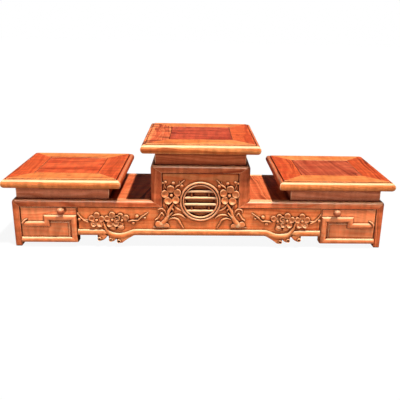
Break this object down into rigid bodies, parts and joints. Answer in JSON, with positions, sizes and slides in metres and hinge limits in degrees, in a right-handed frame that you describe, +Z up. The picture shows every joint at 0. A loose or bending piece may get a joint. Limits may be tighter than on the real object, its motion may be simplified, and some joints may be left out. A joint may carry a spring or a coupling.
{
  "type": "tiered altar stand",
  "caption": "Long low carved hardwood base with a raised middle block, framed platforms on recessed necks and a sliding drawer at each end.",
  "frame": {"origin": "middle of the footprint on the surface that the feet stand on", "axes": "+X along the length towards the right-hand drawer, front with the drawers towards -Y, +Z up"},
  "size_m": [0.81, 0.25, 0.2275],
  "materials": {
    "platform_frame": "clear lacquer, gloss",
    "platform_panel": "clear lacquer, gloss",
    "neck": "clear lacquer, satin",
    "deck": "clear lacquer, satin",
    "carved_front": "carved, clear lacquer, satin",
    "body_frame": "clear lacquer, satin",
    "drawer_inside": "bare planed wood"
  },
  "bodies": {
    "stand": {"back_board": "body_frame", "block_back_rail": "body_frame", "block_front_rail": "body_frame", "block_left_back_post": "body_frame", "block_left_board": "body_frame", "block_left_front_post": "body_frame", "block_left_rail": "body_frame", "block_right_back_post": "body_frame", "block_right_board": "body_frame", "block_right_front_post": "body_frame", "block_right_rail": "body_frame", "center_neck": "neck", "center_platform_back_rail": "platform_frame", "center_platform_front_rail": "platform_frame", "center_platform_left_stile": "platform_frame", "center_platform_panel": "platform_panel", "center_platform_right_stile": "platform_frame", "front_board": "carved_front", "left_back_post": "body_frame", "left_back_rail": "body_frame", "left_deck": "deck", "left_drawer_divider": "drawer_inside", "left_drawer_runner": "drawer_inside", "left_end_board": "body_frame", "left_end_rail": "body_frame", "left_front_post": "body_frame", "left_front_rail": "body_frame", "left_neck": "neck", "left_platform_back_rail": "platform_frame", "left_platform_front_rail": "platform_frame", "left_platform_left_stile": "platform_frame", "left_platform_panel": "platform_panel", "left_platform_right_stile": "platform_frame", "right_back_post": "body_frame", "right_back_rail": "body_frame", "right_deck": "deck", "right_drawer_divider": "drawer_inside", "right_drawer_runner": "drawer_inside", "right_end_board": "body_frame", "right_end_rail": "body_frame", "right_front_post": "body_frame", "right_front_rail": "body_frame", "right_neck": "neck", "right_platform_back_rail": "platform_frame", "right_platform_front_rail": "platform_frame", "right_platform_left_stile": "platform_frame", "right_platform_panel": "platform_panel", "right_platform_right_stile": "platform_frame"},
    "left_drawer": {"left_drawer_back": "drawer_inside", "left_drawer_bottom": "drawer_inside", "left_drawer_front": "carved_front", "left_drawer_inner_side": "drawer_inside", "left_drawer_knob": "carved_front", "left_drawer_outer_side": "drawer_inside"},
    "right_drawer": {"right_drawer_back": "drawer_inside", "right_drawer_bottom": "drawer_inside", "right_drawer_front": "carved_front", "right_drawer_inner_side": "drawer_inside", "right_drawer_knob": "carved_front", "right_drawer_outer_side": "drawer_inside"}
  },
  "joints": [
    {"name": "left_drawer_slide", "type": "slide", "parent": "stand", "child": "left_drawer", "axis": [0, -1, 0], "range_m": [0, 0.13]},
    {"name": "right_drawer_slide", "type": "slide", "parent": "stand", "child": "right_drawer", "axis": [0, -1, 0], "range_m": [0, 0.13]}
  ]
}
